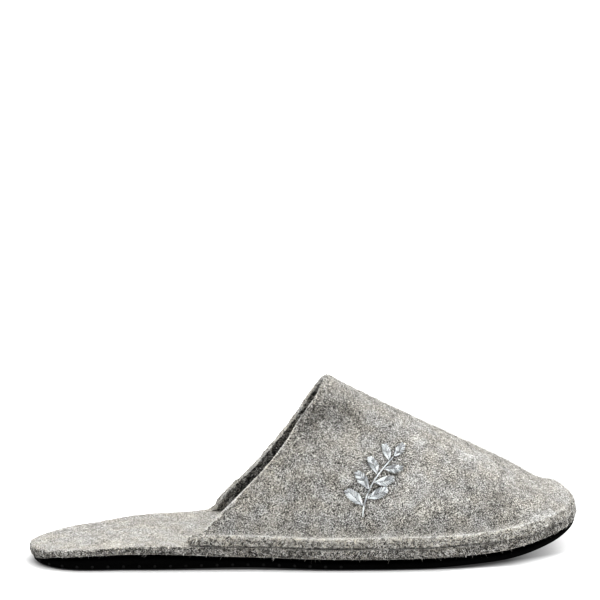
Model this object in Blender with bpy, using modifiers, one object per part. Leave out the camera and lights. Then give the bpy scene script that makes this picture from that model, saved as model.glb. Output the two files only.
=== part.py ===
# Felt mule slipper for a right foot: rubber outsole, felt insole and a one-piece felt upper.
# The tables are in millimetres. X runs from the heel to the toe, -Y is the outer side, Z is up.

import math
from collections import namedtuple

import bmesh
import bpy

MM = 0.001

# Sole outline: length, lengths of the two round ends, how square the toe is
LENGTH = 280.0
HEEL_ROUND = 32.0
TOE_ROUND = 54.0
TOE_POWER = 2.3
SOLE_STEPS = 56

# Sections of the sole from the heel end to the toe end. Middle is the line halfway between
# the two edges, lift is the underside's height, rubber and felt are the two thicknesses.
Section = namedtuple("Section", "from_heel middle half_breadth lift rubber felt")
SOLE = (
    Section(0.0, -0.6, 30.0, 0.3, 4.2, 3.7),
    Section(25.0, -0.2, 28.2, 0.0, 5.4, 4.3),
    Section(60.0, 1.5, 33.0, 0.0, 6.1, 5.2),
    Section(105.0, 1.4, 38.2, 0.7, 5.2, 5.6),
    Section(150.0, 0.6, 45.8, 0.0, 4.8, 5.9),
    Section(190.0, 0.8, 49.7, 0.0, 4.8, 6.0),
    Section(225.0, 1.7, 51.0, 2.2, 4.4, 6.0),
    Section(255.0, 3.2, 54.0, 8.5, 4.1, 6.0),
    Section(280.0, 5.5, 49.0, 13.3, 2.9, 5.1),
)

# Edge shapes from the underside up: how far in from the outline, and how high in the layer
Rim = namedtuple("Rim", "inset height")
OUTSOLE_RIMS = (Rim(2.4, 0.0), Rim(1.5, 0.2), Rim(1.2, 0.55), Rim(1.2, 1.0))
INSOLE_RIMS = (Rim(0.9, 0.0), Rim(0.1, 0.22), Rim(0.0, 0.5), Rim(0.2, 0.8), Rim(1.3, 1.0))

# Upper: felt thickness, room left between pieces, how far in the flange starts and ends, fillet above it
WALL = 4.4
GAP = 0.3
FLANGE_EDGE = 0.6
FLANGE = 6.6
FILLET = 4.5
RIBS = 34
FLANGE_STEPS = 3
FILLET_STEPS = 4
ARCH_STEPS = 11

# Collar: where its cut edge starts on the sole's outer (-1) and inner (1) edge, how much further on
# it meets the wall, and how it bows and sways in side view
Collar = namedtuple("Collar", "side from_heel step bow sway")
COLLAR = (Collar(-1, 75.8, 6.9, 0.45, -0.22), Collar(1, 92.8, 1.4, 0.31, 0.02))

# Top line of the upper from the collar to the toe. Taper is how much the sides lean inwards,
# full is the power of the section's curve: 2 is an ellipse, more is fuller.
Crest = namedtuple("Crest", "from_heel height taper full")
CRESTS = (
    Crest(148.0, 90.5, 0.08, 2.3),
    Crest(200.0, 64.6, 0.05, 2.4),
    Crest(240.0, 44.7, 0.05, 2.35),
    Crest(254.0, 37.0, 0.08, 2.2),
    Crest(264.0, 30.6, 0.10, 2.0),
)


# Value of one column of a table at any place, by cubic pieces that do not overshoot the rows
def along(rows, column, place):
    xs = [row.from_heel for row in rows]
    ys = [getattr(row, column) for row in rows]
    steps = [b - a for a, b in zip(xs, xs[1:])]
    slopes = [(b - a) / step for a, b, step in zip(ys, ys[1:], steps)]
    tangents = [slopes[0]]
    for before, after in zip(slopes, slopes[1:]):
        tangents.append(2 * before * after / (before + after) if before * after > 0 else 0.0)
    tangents.append(slopes[-1])
    place = min(max(place, xs[0]), xs[-1])
    i = max(k for k in range(len(steps)) if place >= xs[k])
    t = (place - xs[i]) / steps[i]
    rest = 1 - t
    return (ys[i] * rest * rest * (1 + 2 * t) + ys[i + 1] * t * t * (1 + 2 * rest)
            + steps[i] * t * rest * (tangents[i] * rest - tangents[i + 1] * t))


# Share of the breadth that is left in the round ends
def rounding(place, inset):
    heel = min(max((HEEL_ROUND - place) / (HEEL_ROUND - inset), 0.0), 1.0)
    toe = min(max((place - LENGTH + TOE_ROUND) / (TOE_ROUND - inset), 0.0), 1.0)
    return math.sqrt(1 - heel ** 2) * (1 - toe ** TOE_POWER) ** (1 / TOE_POWER)


# Y of the outline, moved inwards by inset, on the outer (-1) or the inner (1) side
def outline(place, side, inset=0.0):
    half = (along(SOLE, "half_breadth", place) - inset) * rounding(place, inset)
    return along(SOLE, "middle", place) + side * half


def rubber_bottom(place):
    return along(SOLE, "lift", place)


def rubber_top(place):
    return rubber_bottom(place) + along(SOLE, "rubber", place)


def felt_bottom(place):
    return rubber_top(place) + GAP


def felt_top(place):
    return felt_bottom(place) + along(SOLE, "felt", place)


def flange_top(place):
    return felt_top(place) + GAP + WALL


# Places along the sole, closer together in the round ends
def sole_places(inset):
    reach = LENGTH - 2 * inset
    return [inset + reach * (1 - math.cos(math.pi * i / SOLE_STEPS)) / 2 for i in range(SOLE_STEPS + 1)]


EDGES = [outline(place, side) for place in sole_places(0.0) for side in (-1, 1)]
MIDDLE_Y = (min(EDGES) + max(EDGES)) / 2


# Point in metres, with the origin under the middle of the slipper's box
def point(x, y, z):
    return ((x - LENGTH / 2) * MM, (y - MIDDLE_Y) * MM, z * MM)


def material(name, colour, roughness):
    made = bpy.data.materials.new(name)
    made.use_nodes = True
    shader = made.node_tree.nodes["Principled BSDF"]
    shader.inputs["Base Color"].default_value = (*colour, 1.0)
    shader.inputs["Roughness"].default_value = roughness
    return made


# Quads between neighbouring sections of equal length. Points that meet are joined.
def loft(sections, closed):
    mesh = bmesh.new()
    rows = [[mesh.verts.new(place) for place in section] for section in sections]
    count = len(rows[0])
    for row, following in zip(rows, rows[1:]):
        for i in range(count if closed else count - 1):
            j = (i + 1) % count
            mesh.faces.new((row[i], row[j], following[j], following[i]))
    bmesh.ops.remove_doubles(mesh, verts=mesh.verts, dist=0.00001)
    bmesh.ops.dissolve_degenerate(mesh, edges=mesh.edges, dist=0.00001)
    bmesh.ops.recalc_face_normals(mesh, faces=mesh.faces)
    return mesh


def add_object(name, mesh, colour):
    data = bpy.data.meshes.new(name)
    mesh.to_mesh(data)
    mesh.free()
    data.materials.append(colour)
    made = bpy.data.objects.new(name, data)
    slipper.objects.link(made)
    return made


# Slab that follows the outline, its edge shaped by the rims
def slab(name, rims, bottom, top, colour):
    sides = {-1: [], 1: []}
    for side, columns in sides.items():
        for rim in rims:
            places = sole_places(rim.inset)
            heights = [bottom(x) + rim.height * (top(x) - bottom(x)) for x in places]
            columns.append([point(x, outline(x, side, rim.inset), z) for x, z in zip(places, heights)])
    rings = []
    for i in range(SOLE_STEPS + 1):
        ring = [column[i] for column in sides[-1]]
        ring += [column[i] for column in reversed(sides[1])]
        rings.append(ring)
    return add_object(name, loft(rings, True), colour)


def mix(start, end, share):
    return [a + (b - a) * share for a, b in zip(start, end)]


# Place of the foot of the wall on a rib, for a wall that starts at the given place
def wall_place(start, sweep):
    return start + (LENGTH - FLANGE - start) * sweep


# One half of a rib, from the flange's edge to the top line. Turn runs from 0 at the collar to 1 at the toe.
def half_rib(turn, side):
    sweep = math.sin(turn * math.pi / 2)
    collar = next(row for row in COLLAR if row.side == side)
    foot_x = collar.from_heel + (LENGTH - FLANGE_EDGE - collar.from_heel) * sweep
    starts = [row.from_heel + row.step for row in COLLAR]
    wall_x = wall_place(collar.from_heel + collar.step, sweep)
    level_x = wall_place(sum(starts) / len(starts), sweep)
    crest_x = CRESTS[0].from_heel + (CRESTS[-1].from_heel - CRESTS[0].from_heel) * sweep
    foot = (foot_x, outline(foot_x, side, FLANGE_EDGE), flange_top(foot_x))
    wall = (wall_x, outline(wall_x, side, FLANGE), flange_top(wall_x))
    crest = (crest_x, along(SOLE, "middle", crest_x), along(CRESTS, "height", crest_x))
    taper = along(CRESTS, "taper", crest_x)
    power = 2 / along(CRESTS, "full", crest_x)
    fade = math.cos(turn * math.pi / 2)

    def arch(share):
        rise = math.sin(share * math.pi / 2) ** power
        run = taper * rise + (1 - taper) * (1 - max(math.cos(share * math.pi / 2), 0.0) ** power)
        lean = rise + fade * rise * (1 - rise) * (collar.bow + collar.sway * (1 - 2 * rise))
        x = level_x + (crest_x - level_x) * lean + (wall_x - level_x) * (1 - run) ** 1.5
        return [x, wall[1] + (crest[1] - wall[1]) * run, wall[2] + (crest[2] - wall[2]) * rise]

    start_share = 2 / math.pi * (FILLET / max(crest[2] - wall[2], 3 * FILLET)) ** (1 / power)
    into = mix(wall, foot, FILLET / math.dist(wall, foot))
    out_of = arch(start_share)
    half = [mix(foot, into, i / FLANGE_STEPS) for i in range(FLANGE_STEPS)]
    for i in range(FILLET_STEPS):
        t = i / FILLET_STEPS
        half.append(mix(mix(into, wall, t), mix(wall, out_of, t), t))
    for i in range(ARCH_STEPS + 1):
        half.append(arch(start_share + (1 - start_share) * i / ARCH_STEPS))
    return half


def upper_shell():
    ribs = []
    for i in range(RIBS + 1):
        outer = half_rib(i / RIBS, -1)
        inner = half_rib(i / RIBS, 1)
        ribs.append([point(*place) for place in outer + inner[-2::-1]])
    mesh = loft(ribs, False)
    # the top line ends between two faces, which become one
    ends = [vert for vert in mesh.verts if len(vert.link_edges) == 2 and len(vert.link_faces) == 2]
    bmesh.ops.dissolve_verts(mesh, verts=ends)
    bmesh.ops.recalc_face_normals(mesh, faces=mesh.faces)
    if sum(face.normal.z for face in mesh.faces) < 0:
        bmesh.ops.reverse_faces(mesh, faces=mesh.faces)
    return mesh


for old in list(bpy.data.objects):
    bpy.data.objects.remove(old, do_unlink=True)
slipper = bpy.data.collections.new("felt_mule_slipper")
bpy.context.scene.collection.children.link(slipper)

black_rubber = material("black_rubber", (0.012, 0.012, 0.013), 0.7)
pale_felt = material("pale_felt", (0.48, 0.48, 0.46), 0.95)
grey_felt = material("grey_felt", (0.27, 0.27, 0.26), 0.95)

slab("outsole", OUTSOLE_RIMS, rubber_bottom, rubber_top, black_rubber)
slab("insole", INSOLE_RIMS, felt_bottom, felt_top, pale_felt)

upper = add_object("upper", upper_shell(), grey_felt)
shell = upper.modifiers.new("wall", "SOLIDIFY")
shell.thickness = WALL * MM
shell.offset = -1
shell.use_even_offset = True
shell.use_quality_normals = True
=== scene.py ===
# Looks of the felt mule slipper: swollen felt, fuzz, embroidered sprig and a dotted rubber sole
import math

import bmesh
import bpy
import numpy as np
from mathutils import Matrix, Vector, noise
from mathutils.bvhtree import BVHTree
from mathutils.kdtree import KDTree


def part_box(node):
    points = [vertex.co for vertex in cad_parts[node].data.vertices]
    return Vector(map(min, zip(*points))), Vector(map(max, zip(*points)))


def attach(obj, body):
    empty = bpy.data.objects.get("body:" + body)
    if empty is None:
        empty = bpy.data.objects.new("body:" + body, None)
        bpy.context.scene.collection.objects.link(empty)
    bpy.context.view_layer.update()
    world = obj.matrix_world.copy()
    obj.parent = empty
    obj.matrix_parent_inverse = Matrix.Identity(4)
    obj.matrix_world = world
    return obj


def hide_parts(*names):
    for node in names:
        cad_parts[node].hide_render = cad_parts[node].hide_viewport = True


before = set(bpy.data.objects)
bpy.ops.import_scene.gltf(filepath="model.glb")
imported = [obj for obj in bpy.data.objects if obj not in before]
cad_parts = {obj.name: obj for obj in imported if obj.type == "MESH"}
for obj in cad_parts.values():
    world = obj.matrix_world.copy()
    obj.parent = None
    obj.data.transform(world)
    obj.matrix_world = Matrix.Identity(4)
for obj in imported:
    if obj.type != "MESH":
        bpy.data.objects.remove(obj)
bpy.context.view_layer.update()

mm = 0.001
scene = bpy.context.scene


def mmOf(*sizes):
    return tuple(size * mm for size in sizes)


print("stage: frame loaded,", len(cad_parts), "nodes")


# Shader building blocks

def newMaterial(name):
    material = bpy.data.materials.new(name)
    material.use_nodes = True
    tree = material.node_tree
    return material, tree, tree.nodes["Principled BSDF"]


def setNode(tree, node, values=None, links=None):
    for key, value in (values or {}).items():
        node.inputs[key].default_value = value
    for key, socket in (links or {}).items():
        tree.links.new(socket, node.inputs[key])


def addNode(tree, kind, values=None, links=None, **settings):
    node = tree.nodes.new("ShaderNode" + kind)
    for key, value in settings.items():
        setattr(node, key, value)
    setNode(tree, node, values, links)
    return node


def placeOf(tree):
    return addNode(tree, "TexCoord").outputs["Object"]


def attributeOf(tree, name):
    return addNode(tree, "Attribute", attribute_name=name).outputs["Fac"]


def noiseOf(tree, place, size, detail, rough):
    # size is the length of one blotch in metres
    values = {"Scale": 1.0 / size, "Detail": detail, "Roughness": rough}
    return addNode(tree, "TexNoise", values, {"Vector": place}).outputs["Fac"]


def fibresOf(tree, place, across, along, turn):
    # noise drawn out into streaks, turned in degrees from lying along Y
    values = {"Rotation": [math.radians(angle) for angle in turn], "Scale": (1.0, along / across, 1.0)}
    laid = addNode(tree, "Mapping", values, {"Vector": place}, vector_type="TEXTURE")
    return noiseOf(tree, laid.outputs["Vector"], across, detail=1.0, rough=0.4)


def mathOf(tree, operation, *sockets):
    node = addNode(tree, "Math", operation=operation)
    for given, socket in zip(sockets, node.inputs):
        if isinstance(given, (int, float)):
            socket.default_value = given
        else:
            tree.links.new(given, socket)
    return node.outputs[0]


def centred(tree, socket):
    return mathOf(tree, "SUBTRACT", socket, 0.5)


def addWeighted(tree, start, parts):
    # start plus each noise, centred on zero and weighted
    total = start
    for socket, weight in parts:
        total = mathOf(tree, "MULTIPLY_ADD", centred(tree, socket), weight, total)
    return total


def rampOf(tree, factor, stops):
    node = addNode(tree, "ValToRGB", links={"Fac": factor})
    ramp = node.color_ramp
    while len(ramp.elements) < len(stops):
        ramp.elements.new(0.5)
    for element, (place, colour) in zip(ramp.elements, stops):
        element.position = place
        element.color = (*colour, 1.0)
    return node.outputs["Color"]


def greys(stops):
    return [(place, (level,) * 3) for place, level in stops]


# Wool tones from the darkest fibre to the palest, linear colour

woolTones = (
    (0.00, (0.008, 0.008, 0.007)),
    (0.25, (0.111, 0.106, 0.097)),
    (0.50, (0.312, 0.301, 0.279)),
    (0.75, (0.488, 0.478, 0.456)),
    (1.00, (0.645, 0.640, 0.627)),
)

# Felt: weights of the noises, tone of the wool and what is added to it

feltLook = {
    "upper": {
        "patch": 0.50, "cloud": 0.60, "grain": 3.4, "streak": 4.0, "cutGrain": 3.9,
        # the inside tone is painted shade, the lip tone a painted highlight
        "tone": 0.522, "cutTone": 0.10, "insideShade": -0.95, "lipHighlight": 0.46,
    },
    "insole": {
        "patch": 0.15, "cloud": 0.45, "grain": 2.9, "streak": 2.4, "cutGrain": 3.4,
        # the insole's dark cut edge is partly the cut wool and partly painted shade under the flange
        "tone": 0.565, "cutTone": -0.78, "insideShade": 0.0, "lipHighlight": 0.0,
    },
}
feltSizes = {
    # noises: size, detail, roughness
    "patch": (16 * mm, 3.0, 0.55), "cloud": (5 * mm, 2.0, 0.55), "grain": (0.45 * mm, 1.0, 0.8),
    "curls": (1.7 * mm, 1.0, 0.5), "tint": (9 * mm, 1.0, 0.5),
    # streaks: sizes across and along, turns, shift of their mean
    "streak": mmOf(0.27, 1.5), "turns": ((-90, -40, 0), (-70, -62, 20), (-100, 35, -10)),
    "streakShift": 0.12,
    # tints, stronger grain and a warmer tint on the cut edges
    "cutRough": 1.8, "tints": ((0.35, (0.97, 0.985, 1.0)), (0.65, (1.0, 0.985, 0.94))),
    "cutTint": (1.02, 0.99, 0.92, 1.0),
    # bump: weights of grain, streak, cloud and curls
    "bumpWeights": (0.8, 0.8, 0.6, 1.6), "bump": {"Distance": 0.8 * mm},
    "shader": {"Roughness": 0.95, "Specular IOR Level": 0.15, "Sheen Weight": 0.12, "Sheen Roughness": 0.6},
}


def feltMaterial(kind):
    look, sizes = feltLook[kind], feltSizes
    material, tree, shader = newMaterial("felt_" + kind)
    place = placeOf(tree)
    # inside holds painted shade, lip painted highlights, patch painted shade and light
    cut, inside, lip, dark = (attributeOf(tree, name) for name in ("cutEdge", "inside", "lip", "patch"))
    names = ("patch", "cloud", "grain", "curls", "tint")
    patch, cloud, grain, curls, tint = (noiseOf(tree, place, *sizes[name]) for name in names)
    rough = mathOf(tree, "MULTIPLY_ADD", cut, sizes["cutRough"], 1.0)
    grain = mathOf(tree, "MULTIPLY_ADD", centred(tree, grain), rough, 0.5)
    curls = mathOf(tree, "MULTIPLY", centred(tree, curls), cut)
    curls = mathOf(tree, "MULTIPLY_ADD", curls, look["cutGrain"], 0.5)
    streaks = [fibresOf(tree, place, *sizes["streak"], turn) for turn in sizes["turns"]]
    streak = mathOf(tree, "MAXIMUM", mathOf(tree, "MAXIMUM", streaks[0], streaks[1]), streaks[2])
    streak = mathOf(tree, "SUBTRACT", streak, sizes["streakShift"])
    # the inside tone adds painted shade and the lip tone a painted highlight
    shade = look["tone"]
    for socket, tone in ((cut, "cutTone"), (inside, "insideShade"), (lip, "lipHighlight")):
        shade = mathOf(tree, "MULTIPLY_ADD", socket, look[tone], shade)
    # the patch attribute adds painted shade and light of the folds and round the stitches
    shade = mathOf(tree, "ADD", dark, shade)
    weighted = [(patch, look["patch"]), (cloud, look["cloud"]), (grain, look["grain"]), (streak, look["streak"])]
    shade = addWeighted(tree, shade, weighted + [(curls, 1.0)])
    colours = {"A": rampOf(tree, shade, woolTones), "B": rampOf(tree, tint, sizes["tints"])}
    mixing = {"data_type": "RGBA", "blend_type": "MULTIPLY"}
    tinted = addNode(tree, "Mix", {"Factor": 1.0}, colours, **mixing).outputs["Result"]
    warm = addNode(tree, "Mix", {"B": sizes["cutTint"]}, {"Factor": cut, "A": tinted}, **mixing)
    height = addWeighted(tree, 0.5, zip((grain, streak, cloud, curls), sizes["bumpWeights"]))
    bump = addNode(tree, "Bump", sizes["bump"], {"Height": height})
    links = {"Base Color": warm.outputs["Result"], "Normal": bump.outputs["Normal"]}
    setNode(tree, shader, sizes["shader"], links)
    return material


# Meshes

def share(value, start, end):
    # 0 at the start, 1 at the end, smooth between
    t = min(max((value - start) / (end - start), 0.0), 1.0)
    return t * t * (3 - 2 * t)


def grown(value, most, start, end):
    return most * share(value, start, end)


def between(value, rise, fall):
    # 1 after the rise and before the fall, 0 outside them
    return share(value, *rise) * (1 - share(value, *fall))


def bell(value, middle, reach):
    return math.exp(-((value - middle) / reach) ** 2)


def level(vector):
    return Vector((vector.x, vector.y, 0.0))


def upwards(height):
    return Vector((0.0, 0.0, height))


def mergedCopy(node):
    form = bmesh.new()
    form.from_mesh(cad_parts[node].data)
    bmesh.ops.remove_doubles(form, verts=form.verts, dist=0.02 * mm)
    bmesh.ops.join_triangles(
        form, faces=form.faces, angle_face_threshold=math.radians(35), angle_shape_threshold=math.radians(60)
    )
    return form


def meshOf(name, form):
    mesh = bpy.data.meshes.new(name)
    form.to_mesh(mesh)
    form.free()
    return mesh


def newObject(name, data):
    made = bpy.data.objects.new(name, data)
    scene.collection.objects.link(made)
    return made


def addPiece(name, mesh, material, replaces=None, smooth=True):
    mesh.materials.append(material)
    if smooth:
        mesh.shade_smooth()
    piece = newObject(name, mesh)
    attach(piece, "root")
    if replaces:
        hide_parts(replaces)
    return piece


def finalMesh(data, levels=0):
    # the mesh of a curve, or of a mesh after subdivision
    work = newObject("work", data)
    if levels:
        finer = work.modifiers.new("finer", "SUBSURF")
        finer.levels = levels
        finer.render_levels = levels
    made = bpy.data.meshes.new_from_object(work.evaluated_get(bpy.context.evaluated_depsgraph_get()))
    bpy.data.objects.remove(work)
    return made


def smoothed(form, levels):
    made = finalMesh(meshOf("work", form), levels)
    result = bmesh.new()
    result.from_mesh(made)
    bpy.data.meshes.remove(made)
    result.normal_update()
    return result


def layerOf(form, name):
    layers = form.verts.layers.float
    return layers.get(name) or layers.new(name)


def treeOf(places):
    tree = KDTree(len(places))
    for index, place in enumerate(places):
        tree.insert(place, index)
    tree.balance()
    return tree


# Uneven edges of cut felt: wave length, height in millimetres
edgeRise = ((9 * mm, 0.5), (3.8 * mm, 0.35))


def unevenFelt(form, waves):
    # soft lumps along the normals, stronger on the cut edges
    cutLayer = layerOf(form, "cutEdge")
    for vert in form.verts:
        push = 0.0
        for length, plain, onCut in waves:
            reach = plain + (onCut - plain) * vert[cutLayer]
            push += reach * noise.noise(vert.co / length)
        vert.co += vert.normal * push
        spot = level(vert.co)
        rise = sum(height * noise.noise(spot / length) for length, height in edgeRise)
        vert.co.z += vert[cutLayer] * mm * rise


# Sole: how the rubber's top and the felt on it are raised

soleGrid = {"longEdge": 20 * mm, "cuts": 9}
heelLook = {
    "height": 1.3 * mm, "end": mmOf(-142, -112), "fall": mmOf(-85, -40),
    # the felt's edge at the very end is deeper than the rubber under it
    "tip": mmOf(-140, -128), "tipRise": 0.6 * mm, "tipBack": 0.9 * mm, "tipDrop": 2.0 * mm,
}
archLook = {
    "height": 1.8 * mm, "rise": mmOf(-118, -52), "fall": mmOf(-35, 20), "across": mmOf(4, 30),
    # the footbed swells a little more beside the foot of the far edge
    "swell": 1.0 * mm, "swellAt": mmOf(-45, 9), "swellAcross": (mmOf(18, 26), mmOf(36, 41)),
}


def splitWide(form, faces):
    # short edges across the sole
    wide = {edge for face in faces for edge in face.edges if edge.calc_length() > soleGrid["longEdge"]}
    bmesh.ops.subdivide_edges(form, edges=list(wide), cuts=soleGrid["cuts"], use_grid_fill=True)


def heelLift(place):
    return heelLook["height"] * between(place.x, heelLook["end"], heelLook["fall"])


def heelTip(place):
    return 1 - share(place.x, *heelLook["tip"])


def archLift(place):
    # the sole rises under the inner side of the foot
    along = between(place.x, archLook["rise"], archLook["fall"])
    return archLook["height"] * along * share(place.y, *archLook["across"])


def swellLift(place):
    return archLook["swell"] * bell(place.x, *archLook["swellAt"]) * between(place.y, *archLook["swellAcross"])


# Upper

upperLook = {
    # angle of a sharp edge, cuts across the cut edges, levels of subdivision
    "sharp": 55, "rimCuts": 2, "levels": 2, "sampleStep": 0.4 * mm,
    # height of the line along the middle of the foot
    "axis": 12 * mm,
    # X of the collar's facing at its edges, across it and on the finer skin
    "edgeFacing": -0.5, "rungFacing": -0.35, "skinFacing": -0.4,
    # setback of the collar's inner edge, on the outer and the inner side
    "collarSet": mmOf(0.0, 0.7),
    # rounding of the flange's top and lower edge and the collar's edges
    "radius": {"lip": 2.0 * mm, "under": 0.6 * mm, "collar": 0.5 * mm}, "radiusReach": 1.5,
    "toeLip": 4.2 * mm, "toeLipFrom": mmOf(85, 125), "tipLip": mmOf(1.0, 116, 137),
    # wave length, depth on the open surface, depth on the cut edges
    "waves": (mmOf(38, 0.35, 0.30), mmOf(11, 0.14, 0.35), mmOf(3.6, 0.06, 0.45)),
    # painted shade on the inner face of the upper
    "inside": {
        # where the skin faces the axis or the other side
        "deep": (0.6, 0.9), "aside": ((0.2, 0.7), (0.30, 0.80)), "across": mmOf(2, 10), "up": mmOf(17, 23),
        # share of the tone at the collar's edges
        "edge": 0.55, "edgeReach": mmOf(0.5, 7),
        # further in and on the near wall the painted shade is weaker
        "less": 0.66, "lessFrom": mmOf(16, 40),
        # painted shade on the inner part of the cut at the top of the collar
        "top": 0.8, "topAcross": (0.42, 0.95), "topFrom": mmOf(66, 80),
        # the painted shade fades off at the foot of the far edge
        "footUp": mmOf(18, 28), "footReach": mmOf(3, 9),
    },
    "apex": {
        "at": mmOf(8, 90.5), "lift": 0.7 * mm, "liftReach": mmOf(4, 42),
        "shift": 1.3 * mm, "shiftReach": mmOf(3, 18), "crestLift": 0.4 * mm, "crestFrom": mmOf(25, 60),
        "inward": (0.40, -0.917), "depth": 3.2 * mm, "reach": 20 * mm,
    },
    # ends of the flange: side, rounds of softening, run of the lower edge, drop
    "ends": ((-1, 6, 3.0 * mm, 0.3 * mm), (1, 10, 2.2 * mm, 1.5 * mm)), "endReach": mmOf(2.1, 7),
    "endHeight": 4 * mm,
    # the next rows are in millimetres, above this height
    "skinFrom": 19,
    # soft folds: points (x, z, push outwards), reach above and below the line
    "folds": (
        (((2, 83, 2.8), (20, 77, 2.8), (38, 69, 1.6), (54, 61, 0.0)), 6, 8),
        (((-8, 66, -2.4), (16, 66.5, -2.6), (34, 63, -1.6), (52, 56, 0.0)), 9, 10),
        (((0, 30, 0.0), (12, 28, -0.9), (26, 25, 0.0)), 12, 9),
        (((58, 40, 0.0), (78, 30, -0.7), (96, 27, 0.0)), 9, 8),
    ),
    # run before the first point, share on the far side
    "foldLead": 12, "farFolds": 0.45,
    # painted shade and light beside the folds and under the apex: x, z, reach along and up, tone
    "patches": (
        (-7, 77, 12, 12, -0.46), (14, 79, 15, 9, -0.20), (-2, 72, 8, 5, -0.22), (15, 57, 12, 10, 0.11),
        (12, 27, 9, 9, -0.06), (90, 30, 16, 8, -0.05), (72, 38, 45, 24, 0.07),
    ),
    # painted light on the top of the toe: most, start and end in millimetres
    "toePaintedLight": (0.07, 100, 122),
    # the near cut edge leans back below the top
    "lean": {"back": 1.5, "rise": (58, 74), "fall": (86, 92), "strip": (2, 16), "slope": 0.75, "slopeFrom": 75},
    # folds and patches of painted shade fade out towards the top line
    "foldAcross": mmOf(4, 14), "shadePatchAcross": mmOf(5, 14),
    # the lip's weight also paints a highlight along it
    "lip": {
        "height": 0.6 * mm, "width": 1.8 * mm, "inset": 1.2 * mm, "facing": 0.2, "below": 45 * mm,
        "toeLess": (0.7, *mmOf(100, 132)),
    },
    "dome": {
        "height": 2.8 * mm, "at": mmOf(132.5, 6), "middle": 4 * mm, "across": mmOf(8, 36),
        "up": mmOf(21, 26),
    },
    # painted highlight and calmer grain on the cut of the collar
    "collarFrom": mmOf(18, 12), "collarHighlight": (1.0, 0.45), "collarCalm": 0.25,
    "toe": {
        "pull": mmOf(0.8, 130, 139), "pullAt": mmOf(22, 4),
        # the lower edge closes up with the insole
        "out": 0.5 * mm, "down": 0.9 * mm, "closeFrom": mmOf(70, 105), "closeFacing": (-0.4, 0.3),
    },
    "farLean": {"back": 1.4 * mm, "up": (mmOf(17, 22), mmOf(28, 37)), "reach": mmOf(3, 14)},
    "archShare": 0.3, "soleFade": mmOf(20, 70),
}


def edgeSamples(sharp, cutFaces):
    # points along the sharp edges with the facings of cut and skin
    facings = {}
    for edge in sharp:
        for face in edge.link_faces:
            for vert in edge.verts:
                pair = facings.setdefault(vert, [Vector(), Vector()])
                pair[0 if face in cutFaces else 1] += face.normal
    samples = []
    for edge in sharp:
        a, b = edge.verts
        steps = max(int(edge.calc_length() / upperLook["sampleStep"]), 1)
        for i in range(steps):
            t = i / steps
            ends = zip(facings[a], facings[b])
            cut, skin = (first.normalized().lerp(last.normalized(), t).normalized() for first, last in ends)
            samples.append((a.co.lerp(b.co, t), cut, (skin - cut * skin.dot(cut)).normalized()))
    return samples


def edgeKind(cut, skin):
    if cut.x < upperLook["edgeFacing"]:
        return "collar"
    return "lip" if skin.z > 0 else "under"


def cornersOf(samples, kind):
    return [(corner, skin) for corner, cut, skin in samples if edgeKind(cut, skin) == kind]


def roundOff(form, samples):
    # bends the corner between cut and skin to a quarter circle
    look = upperLook
    tree = treeOf([corner for corner, _, _ in samples])
    for vert in form.verts:
        _, index, gap = tree.find(vert.co)
        corner, cut, skin = samples[index]
        kind = edgeKind(cut, skin)
        radius = look["radius"][kind]
        if kind == "lip":
            radius += (look["toeLip"] - radius) * share(corner.x, *look["toeLipFrom"])
            radius += grown(corner.x, *look["tipLip"])
        if gap > look["radiusReach"] * radius:
            continue
        inward, down = (corner - vert.co).dot(cut), (corner - vert.co).dot(skin)
        if inward < radius and down < radius:
            turn = (min(max(down - inward, -radius), radius) / radius + 1) * math.pi / 4
            vert.co -= cut * (radius * (1 - math.sin(turn)) - inward) + skin * (radius * (1 - math.cos(turn)) - down)


def fromAxis(place):
    # away from the line along the middle of the foot
    return Vector((0.0, place.y, place.z - upperLook["axis"]))


def setCollar(rungs, cutFaces):
    for rung in rungs:
        cut = sum((face.normal for face in rung.link_faces if face in cutFaces), Vector())
        if cut.normalized().x > upperLook["rungFacing"]:
            continue
        inner, outer = sorted(rung.verts, key=lambda vert: fromAxis(vert.co).length)
        inner.co.x = outer.co.x + upperLook["collarSet"][outer.co.y > 0]


def paintInsideShade(form, edges):
    # painted shade on the inner face, most beside the far edge of the collar
    look = upperLook["inside"]
    layer = layerOf(form, "inside")
    collar = treeOf([corner for corner, _ in edges])
    outer, inner = (
        treeOf([corner for corner, skin in edges if (skin.dot(fromAxis(corner)) > 0) == isOuter])
        for isOuter in (True, False)
    )
    for vert in form.verts:
        place, normal = vert.co, vert.normal
        far = place.y > 0
        gap = collar.find(place)[2]
        deep = share(-normal.dot(fromAxis(place).normalized()), *look["deep"])
        aside = share(-normal.y if far else normal.y, *look["aside"][far])
        shaded = aside * share(abs(place.y), *look["across"]) * share(place.z, *look["up"])
        tone = max(deep, shaded) * (look["edge"] + (1 - look["edge"]) * share(gap, *look["edgeReach"]))
        tone *= 1 - look["less"] * (share(gap, *look["lessFrom"]) if far else 1.0)
        if normal.x < upperLook["skinFacing"]:
            gaps = [tree.find(place)[2] for tree in (outer, inner)]
            across = share(gaps[0] / sum(gaps), *look["topAcross"])
            tone = max(tone, look["top"] * across * share(place.z, *look["topFrom"]))
        if far:
            tone *= 1 - (1 - share(place.z, *look["footUp"])) * (1 - share(gap, *look["footReach"]))
        vert[layer] = tone
    return collar


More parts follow.
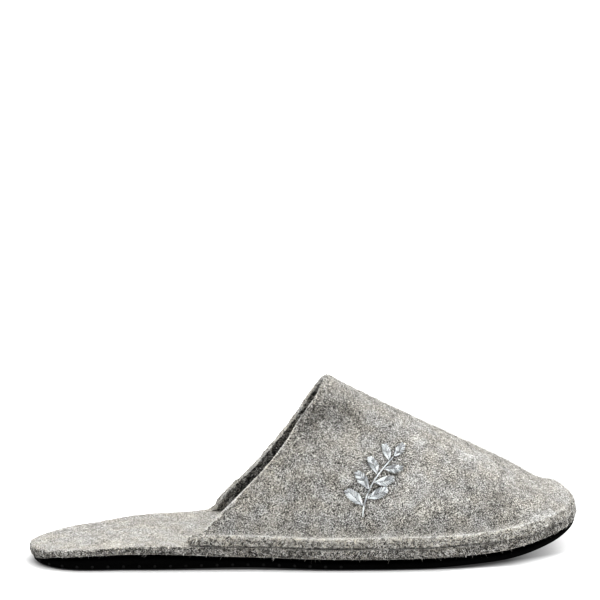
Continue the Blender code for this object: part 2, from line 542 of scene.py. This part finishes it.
def roundApex(form):
    # lifts the top of the collar and takes its point off
    look = upperLook["apex"]
    x, z = look["at"]
    inX, inZ = look["inward"]
    depth = look["depth"]
    for vert in form.verts:
        gap = math.hypot(vert.co.x - x, vert.co.z - z)
        crest = look["crestLift"] * share(vert.co.z, *look["crestFrom"])
        vert.co.z += look["lift"] * (1 - share(gap, *look["liftReach"])) + crest
        vert.co.x += look["shift"] * (1 - share(gap, *look["shiftReach"]))
        below = inX * (vert.co.x - x - look["shift"]) + inZ * (vert.co.z - z - look["lift"] - look["crestLift"])
        if below < depth and gap < look["reach"]:
            rise = 0.5 * depth + 0.5 * max(below, 0.0) ** 2 / depth - below
            vert.co.x += inX * rise
            vert.co.z += inZ * rise


def relax(form, spot, reach, rounds):
    # rounds off everything within reach of the spot
    close = [vert for vert in form.verts if (vert.co - spot).length < reach]
    for _ in range(rounds):
        bmesh.ops.smooth_vert(form, verts=close, factor=0.5, use_axis_x=True, use_axis_y=True, use_axis_z=True)
    return close


def softenEnds(form, lips):
    # rounds the two ends of the flange, whose lower edges run on
    reach = upperLook["endReach"]
    for side, rounds, run, drop in upperLook["ends"]:
        end = min((corner for corner in lips if corner.y * side > 0), key=lambda corner: corner.x)
        for vert in relax(form, end, reach[1], rounds):
            near = 1 - share((vert.co - end).length, *reach)
            vert.co.x -= run * near * (1 - share(vert.co.z, end.z - upperLook["endHeight"], end.z))
            vert.co.z -= drop * near
    form.normal_update()


def foldPush(fold, x, z):
    # how far one fold pushes the skin outwards, in millimetres
    points, above, below = fold
    if not points[0][0] - upperLook["foldLead"] < x < points[-1][0]:
        return 0.0
    i = max(k for k in range(len(points) - 1) if k == 0 or x >= points[k][0])
    start, end = points[i], points[i + 1]
    t = max((x - start[0]) / (end[0] - start[0]), 0.0)
    line, depth = (start[k] + (end[k] - start[k]) * t for k in (1, 2))
    return depth * bell(z, line, above if z > line else below)


def foldUpper(form):
    # folds, patches of painted shade and light and the lean of the near edge
    look, lean = upperLook, upperLook["lean"]
    shadePatchLayer = layerOf(form, "patch")
    for vert in form.verts:
        x, z, side = vert.co.x / mm, vert.co.z / mm, math.copysign(1.0, vert.co.y)
        if z < look["skinFrom"]:
            continue
        if side < 0:
            # painted shade and light beside the folds
            tones = [tone * bell(x, px, along) * bell(z, pz, up) for px, pz, along, up, tone in look["patches"]]
            vert[shadePatchLayer] = sum(tones) * share(-vert.co.y, *look["shadePatchAcross"])
        # painted light on the top of the toe
        vert[shadePatchLayer] += grown(x, *look["toePaintedLight"])
        push = sum(foldPush(fold, x, z) for fold in look["folds"])
        across = share(abs(vert.co.y), *look["foldAcross"])
        vert.co.y += side * push * across * mm * (look["farFolds"] if side > 0 else 1.0)
        if side < 0:
            edge = lean["slope"] * (z - lean["slopeFrom"])
            close = 1 - share(x, *(limit + edge for limit in lean["strip"]))
            vert.co.x -= lean["back"] * mm * between(z, lean["rise"], lean["fall"]) * close
    form.normal_update()


def raiseLip(form, lips):
    # raised lip along the flange, with a painted highlight on it, and a fuller top of the toe
    look, dome = upperLook["lip"], upperLook["dome"]
    tree = treeOf(lips)
    lipHighlightLayer = layerOf(form, "lip")
    for vert in form.verts:
        if vert.normal.z > look["facing"] and vert.co.z < look["below"]:
            less = grown(vert.co.x, *look["toeLess"])
            vert[lipHighlightLayer] = bell(tree.find(vert.co)[2], look["inset"], look["width"]) * (1 - less)
            across = 1 - share(abs(vert.co.y - dome["middle"]), *dome["across"])
            full = dome["height"] * bell(vert.co.x, *dome["at"]) * across * share(vert.co.z, *dome["up"])
            vert.co.z += look["height"] * vert[lipHighlightLayer] + full
    form.normal_update()


def finishUpper(form, collar):
    # painted highlight on the collar's cut, closed toe, far edge set back and the rise of the sole
    look, toe, lean = upperLook, upperLook["toe"], upperLook["farLean"]
    cutLayer, lipHighlightLayer, insideShadeLayer = (layerOf(form, name) for name in ("cutEdge", "lip", "inside"))
    for vert in form.verts:
        far = vert.co.y > 0
        if vert.normal.x < look["skinFacing"] and vert.co.z > look["collarFrom"][far]:
            # painted highlight on the collar's cut
            vert[lipHighlightLayer] = look["collarHighlight"][far] * vert[cutLayer] * (1 - vert[insideShadeLayer])
            vert[cutLayer] *= look["collarCalm"]
        vert.co.x -= grown(vert.co.x, *toe["pull"]) * bell(vert.co.z, *toe["pullAt"])
        closed = vert[cutLayer] * share(vert.co.x, *toe["closeFrom"])
        if closed > 0 and vert.normal.z < toe["closeFacing"][1]:
            vert.co += level(vert.normal) * toe["out"] * closed
            vert.co.z -= toe["down"] * closed * (1 - share(vert.normal.z, *toe["closeFacing"]))
        if far:
            close = 1 - share(collar.find(vert.co)[2], *lean["reach"])
            vert.co.x -= lean["back"] * between(vert.co.z, *lean["up"]) * close
        raised = heelLift(vert.co) + look["archShare"] * archLift(vert.co)
        vert.co.z += raised * (1 - share(vert.co.z, *look["soleFade"]))


def buildUpper():
    look = upperLook
    form = mergedCopy("upper")
    least = math.radians(look["sharp"])
    sharp = [edge for edge in form.edges if edge.is_manifold and edge.calc_face_angle() > least]
    isSharp = set(sharp)
    cutFaces = {face for face in form.faces if sum(edge in isSharp for edge in face.edges) >= 2}
    cutLayer = layerOf(form, "cutEdge")
    for face in cutFaces:
        for vert in face.verts:
            vert[cutLayer] = 1.0
    rungs = {edge for face in cutFaces for edge in face.edges if edge not in isSharp}
    setCollar(rungs, cutFaces)
    samples = edgeSamples(sharp, cutFaces)
    bmesh.ops.subdivide_edges(form, edges=list(rungs), cuts=look["rimCuts"], use_grid_fill=True)
    form = smoothed(form, look["levels"])
    roundOff(form, samples)
    form.normal_update()
    collar = paintInsideShade(form, cornersOf(samples, "collar"))
    lips = [corner for corner, _ in cornersOf(samples, "lip")]
    roundApex(form)
    softenEnds(form, lips)
    foldUpper(form)
    raiseLip(form, lips)
    finishUpper(form, collar)
    unevenFelt(form, look["waves"])
    return addPiece("felt_upper", meshOf("felt_upper", form), feltMaterial("upper"), "upper")


# Insole

insoleLook = {
    "levels": 2,
    # cut edge where the skin is upright: limit of its facing, slope
    "cutFacing": 0.85, "cutSlope": 1.6,
    # heights between which the lower edge turns into the top
    "top": mmOf(5, 8.3),
    # wave length, depth on the footbed, depth on the cut edge
    "waves": (mmOf(30, 0.20, 0.25), mmOf(7, 0.06, 0.40), mmOf(3.4, 0.04, 0.45)),
}


def buildInsole():
    look = insoleLook
    form = mergedCopy("insole")
    splitWide(form, form.faces)
    form = smoothed(form, look["levels"])
    cutLayer = layerOf(form, "cutEdge")
    for vert in form.verts:
        vert[cutLayer] = min(max(look["cutSlope"] * (look["cutFacing"] - abs(vert.normal.z)), 0.0), 1.0)
        high = share(vert.co.z, *look["top"])
        tip = heelTip(vert.co)
        vert.co.x -= heelLook["tipBack"] * high * tip
        vert.co.z += archLift(vert.co) + heelLift(vert.co) + swellLift(vert.co) * high
        vert.co.z += (heelLook["tipRise"] * high - heelLook["tipDrop"] * (1 - high)) * tip
    unevenFelt(form, look["waves"])
    return addPiece("felt_insole", meshOf("felt_insole", form), feltMaterial("insole"), "insole")


# Embroidery: a leafy sprig in satin stitch on the outer side

sprigLook = {
    "seed": 5,
    # place on the upper and the start of the ray that finds it
    "centre": mmOf(30.5, 41.4), "outside": -0.2,
    # stem and leaves in millimetres along the shoe and up from the centre
    "stem": ((-8.5, -16.0), (-7.0, -4.0), (-1.0, 4.0), (8.5, 13.0)),
    "stemStitches": 22, "stemOverlap": 1.7, "stemTilt": 0.22,
    # leaves: number, start on the stem and share of it taken up
    "leaves": 7, "leafFrom": 0.14, "leafSpan": 0.78, "tangentStep": 0.02,
    "leafLength": (12.5, 9.0), "leafWidth": 0.22, "leafRound": (0.8, 0.9), "leafTurn": (50, -56),
    "bend": 0.12, "pitch": 0.95, "slant": 0.2, "midrib": 0.12, "ragged": 0.05,
    # threads: radius, steps, rise and its share at the ends, start of the ray
    "thread": 0.30 * mm, "threadSteps": 4, "rise": 0.35 * mm, "endRise": 0.25, "above": 30 * mm,
    "tones": ((0.0, (0.17, 0.178, 0.183)), (1.0, (0.55, 0.57, 0.58))),
    "shader": {"Roughness": 0.4, "Specular IOR Level": 0.3},
    # the felt sinks round the stitches, with painted shade there
    "press": 0.3 * mm, "pressReach": mmOf(0.6, 2.2), "pressShade": -0.24,
}


def alongStem(t):
    stem = [Vector(point) for point in sprigLook["stem"]]
    while len(stem) > 1:
        stem = [a.lerp(b, t) for a, b in zip(stem, stem[1:])]
    return stem[0]


def leafStitches(base, heading, length, rng):
    # pairs of stitches from the midrib to the two edges
    look = sprigLook
    across = Vector((-heading.y, heading.x))
    count = round(length / look["pitch"])
    inPower, outPower = look["leafRound"]
    stitches = []
    for side in (-1, 1):
        for i in range(1, count):
            inner, outer = i / count, min(i / count + look["slant"], 1.0)
            ribs = [base + (heading * s + across * look["bend"] * s * s) * length for s in (inner, outer)]
            half = look["leafWidth"] * length * math.sin(math.pi * min(i / count, 1.0) ** inPower) ** outPower
            edge = ribs[1] + across * side * half * (1 + look["ragged"] * rng.normal())
            stitches.append((ribs[0] + across * side * look["midrib"], edge))
    return stitches


def sprigStitches():
    look = sprigLook
    rng = np.random.default_rng(look["seed"])
    stitches = []
    steps = look["stemStitches"]
    for i in range(steps):
        a, b = alongStem(i / steps), alongStem(min((i + look["stemOverlap"]) / steps, 1.0))
        tilt = Vector((-(b - a).y, (b - a).x)).normalized() * look["stemTilt"]
        stitches.append((a - tilt, b + tilt))
    longest, shortest = look["leafLength"]
    for i in range(look["leaves"] + 1):
        last = i == look["leaves"]
        t = 1.0 if last else look["leafFrom"] + look["leafSpan"] * i / (look["leaves"] - 1)
        tangent = (alongStem(t) - alongStem(t - look["tangentStep"])).normalized()
        turn = 0.0 if last else math.radians(look["leafTurn"][i % 2])
        heading = Matrix.Rotation(turn, 2) @ tangent
        stitches += leafStitches(alongStem(t), heading, longest + (shortest - longest) * t, rng)
    return stitches


def layStitches(upper):
    look = sprigLook
    tree = BVHTree.FromObject(upper, bpy.context.evaluated_depsgraph_get())
    x, z = look["centre"]
    centre, normal, _, _ = tree.ray_cast(Vector((x, look["outside"], z)), Vector((0, 1, 0)))
    along = (Vector((1, 0, 0)) - normal * normal.x).normalized()
    up = normal.cross(along)
    lines = []
    for a, b in sprigStitches():
        line = []
        for i in range(look["threadSteps"] + 1):
            q = i / look["threadSteps"]
            spot = a.lerp(b, q) * mm
            place = centre + along * spot.x + up * spot.y
            hit, facing, _, _ = tree.ray_cast(place + normal * look["above"], -normal)
            line.append(hit + facing * (look["rise"] * (look["endRise"] + math.sin(math.pi * q))))
        lines.append(line)
    return lines


def threadMesh(lines):
    curve = bpy.data.curves.new("leaf_sprig", "CURVE")
    curve.dimensions = "3D"
    curve.bevel_depth = sprigLook["thread"]
    curve.bevel_resolution = 1
    curve.use_fill_caps = True
    for line in lines:
        spline = curve.splines.new("POLY")
        spline.points.add(len(line) - 1)
        for point, place in zip(spline.points, line):
            point.co = (*place, 1.0)
    mesh = finalMesh(curve)
    bpy.data.curves.remove(curve)
    mesh.name = "leaf_sprig"
    mesh.materials.clear()
    return mesh


def buildSprig(upper):
    look = sprigLook
    lines = layStitches(upper)
    mesh = threadMesh(lines)
    rng = np.random.default_rng(look["seed"] + 1)
    tones = np.repeat(rng.uniform(0, 1, len(lines)), len(mesh.vertices) // len(lines))
    mesh.attributes.new("stitch", "FLOAT", "POINT").data.foreach_set("value", tones.astype(np.float32))
    material, tree, shader = newMaterial("silver_thread")
    colour = rampOf(tree, attributeOf(tree, "stitch"), look["tones"])
    setNode(tree, shader, look["shader"], {"Base Color": colour})
    addPiece("leaf_sprig", mesh, material)
    places = treeOf([place for line in lines for place in line])
    pressFelt(upper.data, places)
    return places


def pressFelt(mesh, places):
    # the felt sinks a little under and around the stitches, with painted shade there
    look = sprigLook
    for vert in mesh.vertices:
        near = 1 - share(places.find(vert.co)[2], *look["pressReach"])
        if near > 0:
            vert.co -= vert.normal * look["press"] * near
            mesh.attributes["patch"].data[vert.index].value += look["pressShade"] * near


# Fuzz: short fibres on the felt and broader ones on its cut edges, one ribbon of two faces each

fuzzKeys = ("count", "seed", "length", "longest", "width", "lift", "tone", "spread", "clump")
fuzzRows = {
    "nap_upper": (60000, 11, 1.5 * mm, 2.6, 0.12 * mm, 16, 0.52, 0.20, 0.0),
    "halo_upper": (10000, 17, 1.9 * mm, 2.6, 0.11 * mm, 42, 0.72, 0.16, 0.0),
    "nap_insole": (50000, 23, 1.3 * mm, 2.6, 0.11 * mm, 13, 0.54, 0.14, 0.0),
    "fringe_upper": (10000, 37, 1.3 * mm, 1.25, 0.30 * mm, 20, 0.66, 0.40, 1.3),
    "fringe_insole": (14000, 51, 1.1 * mm, 1.25, 0.30 * mm, 22, 0.49, 0.40, 1.3),
}
fuzzLook = {name: dict(zip(fuzzKeys, row)) for name, row in fuzzRows.items()}
fibreLook = {
    "leastLift": 3, "lengthSpread": 0.45, "shortest": 0.35, "curl": 0.35, "sink": 0.06 * mm,
    # shares of length, curl and width at the middle, of length at the tip
    "middle": (0.5, 0.3, 0.9), "tip": 0.95,
    # tones change in patches and clumps
    "patchSize": 7 * mm, "patch": 0.15, "clumpSize": 1.1 * mm, "tones": (0.03, 0.88), "toneStep": 0.01,
    "tipLight": 0.10, "shader": {"Roughness": 0.8, "Specular IOR Level": 0.2},
}
coverLook = {
    # height of the foot's middle line, room left round the stitches
    "axis": 10 * mm, "bare": 1.0 * mm,
    # the collar's cut: X of its facing, height, clean on the near side and fuzzy on the far side
    "collarFacing": -0.4, "collarFrom": 17 * mm, "cleanUntil": 25 * mm, "fuzzyFrom": 8 * mm, "fuzzy": 6.0,
    "sideHalo": 0.5,
    # least Z of the facing
    "footbed": -0.6, "cut": -0.3,
}


def fuzzMaterial(name):
    # u picks the tone of a fibre, v runs from its root to its tip
    material, tree, shader = newMaterial(name)
    spot = addNode(tree, "UVMap", uv_map="OFBake").outputs["UV"]
    parts = addNode(tree, "SeparateXYZ", links={"Vector": spot}).outputs
    lit = mathOf(tree, "MULTIPLY_ADD", parts["Y"], fibreLook["tipLight"], parts["X"])
    setNode(tree, shader, fibreLook["shader"], {"Base Color": rampOf(tree, lit, woolTones)})
    return material


def surfaceOf(piece):
    # corners of the triangles and how much of a cut edge each one is
    mesh = piece.data
    mesh.calc_loop_triangles()
    corners = np.empty(len(mesh.loop_triangles) * 3, np.int32)
    mesh.loop_triangles.foreach_get("vertices", corners)
    places = np.empty(len(mesh.vertices) * 3, np.float32)
    mesh.vertices.foreach_get("co", places)
    cut = np.empty(len(mesh.vertices), np.float32)
    mesh.attributes["cutEdge"].data.foreach_get("value", cut)
    corners = corners.reshape(-1, 3)
    return places.reshape(-1, 3).astype(float)[corners], np.clip(cut, 0.0, 1.0).astype(float)[corners].mean(1)


def unit(vectors):
    return vectors / np.maximum(np.linalg.norm(vectors, axis=1, keepdims=True), 1e-12)


def atCollar(places, facing):
    return (facing[:, 0] < coverLook["collarFacing"]) & (places[:, 2] > coverLook["collarFrom"])


def isClean(places, facing):
    return atCollar(places, facing) & (places[:, 1] < coverLook["cleanUntil"])


def onSkin(places, facing, cut):
    # the outer face without the embroidery and the clean edge of the collar
    middle = np.stack([places[:, 0], np.zeros(len(places)), np.full(len(places), coverLook["axis"])], 1)
    outside = ((places - middle) * facing).sum(1) > 0
    bare = np.array([sewn.find(place)[2] < coverLook["bare"] for place in places])
    return np.where(outside & ~bare & ~isClean(places, facing), 1.0, 0.0)


def onOutline(places, facing, cut):
    # all the skin, most on the far rim of the collar and along the top
    rim = atCollar(places, facing) & (places[:, 1] > coverLook["fuzzyFrom"])
    skin = onSkin(places, facing, cut) * (coverLook["sideHalo"] + np.clip(facing[:, 2], 0, 1))
    return skin + coverLook["fuzzy"] * rim


def onFootbed(places, facing, cut):
    return np.where(facing[:, 2] > coverLook["footbed"], 1.0, 0.0)


def onCut(places, facing, cut):
    # none on the clean edge of the collar and few towards the underside
    return np.where((facing[:, 2] > coverLook["cut"]) & ~isClean(places, facing), cut ** 2, 0.0)


def noiseAt(places, size):
    return np.array([noise.noise(Vector(place) / size) for place in places])


def buildFuzz(name, base, cover):
    look, fibre = fuzzLook[name], fibreLook
    rng = np.random.default_rng(look["seed"])
    count = look["count"]
    triangles, cut = surfaceOf(base)
    facing = np.cross(triangles[:, 1] - triangles[:, 0], triangles[:, 2] - triangles[:, 0])
    area = np.linalg.norm(facing, axis=1)
    facing = unit(facing)
    chance = area * cover(triangles.mean(1), facing, cut)
    picked = rng.choice(len(area), count, p=chance / chance.sum())
    a, b = np.sqrt(rng.random(count))[:, None], rng.random(count)[:, None]
    root = triangles[picked, 0] * (1 - a) + triangles[picked, 1] * a * (1 - b) + triangles[picked, 2] * a * b
    up = facing[picked]
    aside = unit(np.cross(up, rng.normal(size=(count, 3))))
    across = np.cross(up, aside)
    lift = np.radians(np.abs(rng.normal(0, look["lift"], count)) + fibre["leastLift"])[:, None]
    times = np.clip(rng.lognormal(0, fibre["lengthSpread"], count), fibre["shortest"], look["longest"])
    length = (look["length"] * times)[:, None]
    heading = aside * np.cos(lift) + up * np.sin(lift)
    curl = rng.normal(0, fibre["curl"], count)[:, None] * length
    roll = rng.uniform(0, math.pi, count)[:, None]
    flat = (across * np.cos(roll) + up * np.sin(roll)) * look["width"] / 2
    start = root - up * fibre["sink"]
    halfway, bent, narrow = fibre["middle"]
    middle = start + heading * length * halfway + across * curl * bent
    tip = start + heading * length * fibre["tip"] + across * curl
    verts = [start - flat, start + flat, middle - flat * narrow, middle + flat * narrow, tip]
    first = np.arange(count)[:, None] * len(verts)
    quads = first + np.array([[0, 1, 3, 2]])
    tips = first + np.array([[2, 3, 4]])
    mesh = bpy.data.meshes.new(name)
    mesh.from_pydata(np.stack(verts, 1).reshape(-1, 3).tolist(), [], quads.tolist() + tips.tolist())

    patches, clumps = noiseAt(root, fibre["patchSize"]), noiseAt(root, fibre["clumpSize"])
    tone = look["tone"] + fibre["patch"] * patches + look["clump"] * clumps
    tone = np.clip(tone + rng.normal(0, look["spread"], count), *fibre["tones"])
    left, right = tone - fibre["toneStep"], tone + fibre["toneStep"]
    zero, half, one = np.zeros(count), np.full(count, 0.5), np.ones(count)
    quadPlaces = np.stack([left, zero, right, zero, right, half, left, half], 1).ravel()
    tipPlaces = np.stack([left, half, right, half, tone, one], 1).ravel()
    layer = mesh.uv_layers.new(name="OFBake")
    layer.data.foreach_set("uv", np.concatenate([quadPlaces, tipPlaces]).astype(np.float32))
    addPiece(name, mesh, fuzzMaterial(name), smooth=False)


# Outsole: the sheet, raised by the height of the dots under it

outsoleLook = {
    "levels": 1, "underFacing": -0.9, "liftFacing": -0.5, "rayFrom": 20 * mm, "dotSegments": (12, 6),
    # dots under the sheet, clear of the floor by the rest of their height
    "dotHeight": 0.6 * mm, "dotRadius": 1.7 * mm, "dotShare": 0.95, "pitch": 7.6 * mm, "rowStep": 0.866,
    "edgeInset": 4.5 * mm,
    # dots round the edge: radius and height, how far up, how far along the foot
    "edgeDot": mmOf(0.8, 0.3), "edgeRise": 1.9 * mm, "edgeUntil": 12 * mm, "edgeTurn": 0.3,
    # the lower edge is sharp and spread, not at the heel's end and less at the toe
    "crease": 0.9, "lowerSpread": mmOf(1.2, -142, -118), "lowerLess": (0.3, *mmOf(90, 125)),
    "toeSpread": mmOf(0.8, 70, 125), "toeThin": mmOf(1.3, 95, 138),
    # heights between which the lower edge turns into the top
    "top": mmOf(1, 4.5),
    # noises: size, detail, roughness; greys by the noise
    "sheet": {
        "noise": (0.8 * mm, 3.0, 0.6), "greys": ((0.3, 0.0006), (0.8, 0.003)),
        "bump": {"Strength": 0.5, "Distance": 0.3 * mm},
        "shader": {"Roughness": 0.9, "Specular IOR Level": 0.03},
    },
    "dots": {
        "noise": (3 * mm, 2.0, 0.5), "greys": ((0.3, 0.002), (0.7, 0.014)),
        # roughness: slope and start by the noise
        "rough": (0.5, 0.3), "shader": {"Specular IOR Level": 0.15},
    },
}


def rubberMaterial(name, look):
    material, tree, shader = newMaterial(name)
    worn = noiseOf(tree, placeOf(tree), *look["noise"])
    links = {"Base Color": rampOf(tree, worn, greys(look["greys"]))}
    if "bump" in look:
        links["Normal"] = addNode(tree, "Bump", look["bump"], {"Height": worn}).outputs["Normal"]
    if "rough" in look:
        links["Roughness"] = mathOf(tree, "MULTIPLY_ADD", worn, *look["rough"])
    setNode(tree, shader, look["shader"], links)
    return material


def boundaryLoop(faces):
    # the outer edge of a patch of faces as points in order
    patch = set(faces)
    rim = [edge for face in faces for edge in face.edges if sum(f in patch for f in edge.link_faces) == 1]
    beside = {}
    for edge in rim:
        for vert in edge.verts:
            beside.setdefault(vert, []).append(edge.other_vert(vert))
    vert = rim[0].verts[0]
    before, ring = None, []
    while vert not in ring:
        ring.append(vert)
        following = [other for other in beside[vert] if other is not before]
        before, vert = vert, following[0]
    return [vert.co.copy() for vert in ring]


def spaced(ring, pitch):
    # points at even steps along a closed line
    ring = ring + ring[:1]
    steps = [(b - a).length for a, b in zip(ring, ring[1:])]
    count = round(sum(steps) / pitch)
    gap, places, at, i = sum(steps) / count, [], 0.0, 0
    for k in range(count):
        while at + steps[i] < k * gap:
            at += steps[i]
            i += 1
        places.append(ring[i].lerp(ring[i + 1], (k * gap - at) / steps[i]))
    return places


def insideOf(ring, x, y, margin):
    # in the ring and further than the margin from it
    crossed, nearest = False, 1.0
    for a, b in zip(ring, ring[1:] + ring[:1]):
        if (a.y > y) != (b.y > y) and x < a.x + (b.x - a.x) * (y - a.y) / (b.y - a.y):
            crossed = not crossed
        nearest = min(nearest, math.hypot(a.x - x, a.y - y))
    return crossed and nearest > margin


def edgeDots(tree, ring):
    look = outsoleLook
    spots = []
    for spot in spaced(ring, look["pitch"]):
        outward = Vector((spot.x * look["edgeTurn"], spot.y, 0.0)).normalized()
        hit, normal, _, _ = tree.ray_cast(spot + outward * look["rayFrom"] + upwards(look["edgeRise"]), -outward)
        if hit and hit.x < look["edgeUntil"]:
            spots.append((hit + upwards(archLift(hit)), normal))
    return spots


def soleDots(tree, ring):
    look = outsoleLook
    spots = []
    low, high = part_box("outsole")
    rowStep = look["pitch"] * look["rowStep"]
    for row in range(int((high.y - low.y) / rowStep) + 1):
        for column in range(int((high.x - low.x) / look["pitch"]) + 1):
            x = low.x + (column + 0.5 * (row % 2)) * look["pitch"]
            y = low.y + row * rowStep
            if insideOf(ring, x, y, look["edgeInset"]):
                hit, normal, _, _ = tree.ray_cast(Vector((x, y, -look["rayFrom"])), upwards(1.0))
                spots.append((hit + upwards(look["dotHeight"] + archLift(hit)), normal))
    return spots


def addDots(name, spots, size, material):
    # one flattened ball, repeated at every spot
    around, upAndDown = outsoleLook["dotSegments"]
    ball = bmesh.new()
    bmesh.ops.create_uvsphere(ball, u_segments=around, v_segments=upAndDown, radius=1.0)
    bmesh.ops.transform(ball, matrix=Matrix.Diagonal((size[0], size[0], size[1])).to_4x4(), verts=ball.verts)
    single = np.array([vert.co for vert in ball.verts])
    faces = [[vert.index for vert in face.verts] for face in ball.faces]
    ball.free()
    verts, corners = [], []
    for spot, normal in spots:
        turn = np.array(normal.to_track_quat("Z", "Y").to_matrix())
        corners += [[index + len(verts) for index in face] for face in faces]
        verts += (single @ turn.T + np.array(spot)).tolist()
    mesh = bpy.data.meshes.new(name)
    mesh.from_pydata(verts, [], corners)
    addPiece(name, mesh, material)


def shapeSheet(form, under):
    # spreads the lower edge, lifts the underside by the dots and thins the toe
    look = outsoleLook
    flat = set(under)
    border = {vert for face in form.faces if face not in flat for vert in face.verts}
    rim = {vert for face in under for vert in face.verts if vert in border}
    crease = form.edges.layers.float.new("crease_edge")
    for edge in form.edges:
        if all(vert in rim for vert in edge.verts) and any(face not in flat for face in edge.link_faces):
            edge[crease] = look["crease"]
    for vert in rim:
        spread = grown(vert.co.x, *look["lowerSpread"]) * (1 - grown(vert.co.x, *look["lowerLess"]))
        vert.co += level(vert.normal).normalized() * spread
    splitWide(form, under)
    for vert in form.verts:
        if vert not in border and vert.normal.z < look["liftFacing"]:
            vert.co.z += look["dotHeight"]
    form.normal_update()
    for vert in form.verts:
        vert.co += level(vert.normal) * grown(vert.co.x, *look["toeSpread"])
        if vert.normal.z < 0:
            vert.co.z += grown(vert.co.x, *look["toeThin"])


def buildOutsole():
    look = outsoleLook
    form = mergedCopy("outsole")
    under = [face for face in form.faces if face.normal.z < look["underFacing"]]
    ring, tree = boundaryLoop(under), BVHTree.FromBMesh(form)
    aroundEdge, underSole = edgeDots(tree, ring), soleDots(tree, ring)
    shapeSheet(form, under)
    form = smoothed(form, look["levels"])
    for vert in form.verts:
        high = share(vert.co.z, *look["top"])
        vert.co.z += archLift(vert.co) + (heelLift(vert.co) - heelLook["tipDrop"] * heelTip(vert.co)) * high
    sheet, dots = rubberMaterial("rubber_sheet", look["sheet"]), rubberMaterial("rubber_dots", look["dots"])
    addPiece("rubber_outsole", meshOf("rubber_outsole", form), sheet, "outsole")
    addDots("sole_dots", underSole, (look["dotRadius"], look["dotHeight"] * look["dotShare"]), dots)
    addDots("edge_dots", aroundEdge, look["edgeDot"], dots)


# Stage: white floor with painted shade and light, soft overhead light and the camera

stageLook = {
    # the floor's glow is painted light in the shade on it
    "floorSize": 60.0, "floorColour": 0.70, "floorGlow": 0.05,
    "floorShader": {"Emission Color": (1.0, 1.0, 1.0, 1.0), "Roughness": 0.9, "Specular IOR Level": 0.0},
    # painted light on the floor under the toe and in front of it: direction, start and end, glow
    "toeColour": 0.25, "toeFloorLight": ((1.0, 0.0, 0.0), mmOf(96, 136), 0.40),
    "toeFrontLight": ((0.377, -0.926, 0.0), mmOf(72, 80), 0.35),
    # painted shade on the floor near the sole: how much of its colour is left by how open it lies
    "contactReach": 13 * mm, "contactShade": ((0.50, 0.56), (0.76, 0.62), (0.90, 1.0)),
    # grey of the sky by height
    "sky": ((0.0, 0.30), (0.04, 0.30), (0.09, 0.07), (0.42, 0.07), (0.78, 1.0)), "skyStrength": 3.1,
    "sideLight": {"place": (1.0, -0.2, 0.28), "towards": (0.11, 0.0, 0.02), "size": 0.7, "power": 3.6},
    "aim": mmOf(-3.53, -1.77, 129.10), "azimuth": -8.1, "elevation": 7.78, "distance": 1.1, "lens": 130.96,
    "exposure": 0.6, "contrast": 0.75,
}


def floorMaterial():
    look = stageLook
    material, tree, shader = newMaterial("floor_white")
    place = placeOf(tree)
    changes = []
    glow = look["floorGlow"]
    # painted light on the floor under the toe and in front of it
    for direction, (start, end), most in (look["toeFloorLight"], look["toeFrontLight"]):
        along = addNode(tree, "VectorMath", {1: direction}, {0: place}, operation="DOT_PRODUCT")
        limits = {"From Min": start, "From Max": end}
        change = addNode(tree, "MapRange", limits, {"Value": along.outputs["Value"]}).outputs["Result"]
        changes.append(change)
        glow = mathOf(tree, "MULTIPLY_ADD", change, most, glow)
    plain = rampOf(tree, changes[0], greys(((0.0, look["floorColour"]), (1.0, look["toeColour"]))))
    # painted shade on the floor close to the sole
    clear = addNode(tree, "AmbientOcclusion", {"Distance": look["contactReach"]}, samples=8).outputs["AO"]
    left = rampOf(tree, clear, greys(look["contactShade"]))
    shaded = addNode(tree, "VectorMath", links={0: plain, 1: left}, operation="MULTIPLY")
    links = {"Base Color": shaded.outputs["Vector"], "Emission Strength": glow}
    setNode(tree, shader, look["floorShader"], links)
    return material


def buildSky():
    world = bpy.data.worlds.new("studio")
    world.use_nodes = True
    scene.world = world
    tree = world.node_tree
    direction = addNode(tree, "TexCoord").outputs["Generated"]
    height = addNode(tree, "SeparateXYZ", links={"Vector": direction}).outputs["Z"]
    colour = rampOf(tree, height, greys(stageLook["sky"]))
    setNode(tree, tree.nodes["Background"], {"Strength": stageLook["skyStrength"]}, {"Color": colour})


def standAt(name, data, place, back):
    # an object that looks the way opposite to back
    made = newObject(name, data)
    made.location = place
    made.rotation_euler = back.to_track_quat("Z", "Y").to_euler()
    return made


def buildStage():
    look = stageLook
    form = bmesh.new()
    bmesh.ops.create_grid(form, x_segments=1, y_segments=1, size=look["floorSize"])
    floor = newObject("floor", meshOf("floor", form))
    floor.data.materials.append(floorMaterial())
    buildSky()

    side = look["sideLight"]
    lamp = bpy.data.lights.new("side_light", "AREA")
    lamp.size = side["size"]
    lamp.energy = side["power"]
    standAt("side_light", lamp, side["place"], Vector(side["place"]) - Vector(side["towards"]))

    a, e = math.radians(look["azimuth"]), math.radians(look["elevation"])
    back = Vector((math.sin(a) * math.cos(e), -math.cos(a) * math.cos(e), math.sin(e)))
    lens = bpy.data.cameras.new("camera")
    lens.lens = look["lens"]
    scene.camera = standAt("camera", lens, Vector(look["aim"]) + back * look["distance"], back)
    view = scene.view_settings
    view.view_transform = "Standard"
    view.exposure = look["exposure"]
    view.gamma = look["contrast"]


buildStage()
print("stage: floor, light and camera")
upper = buildUpper()
print("stage: upper")
insole = buildInsole()
print("stage: insole")
buildOutsole()
print("stage: outsole")
sewn = buildSprig(upper)
print("stage: embroidery")
buildFuzz("nap_upper", upper, onSkin)
buildFuzz("halo_upper", upper, onOutline)
buildFuzz("nap_insole", insole, onFootbed)
buildFuzz("fringe_upper", upper, onCut)
buildFuzz("fringe_insole", insole, onCut)
print("stage: fuzz")
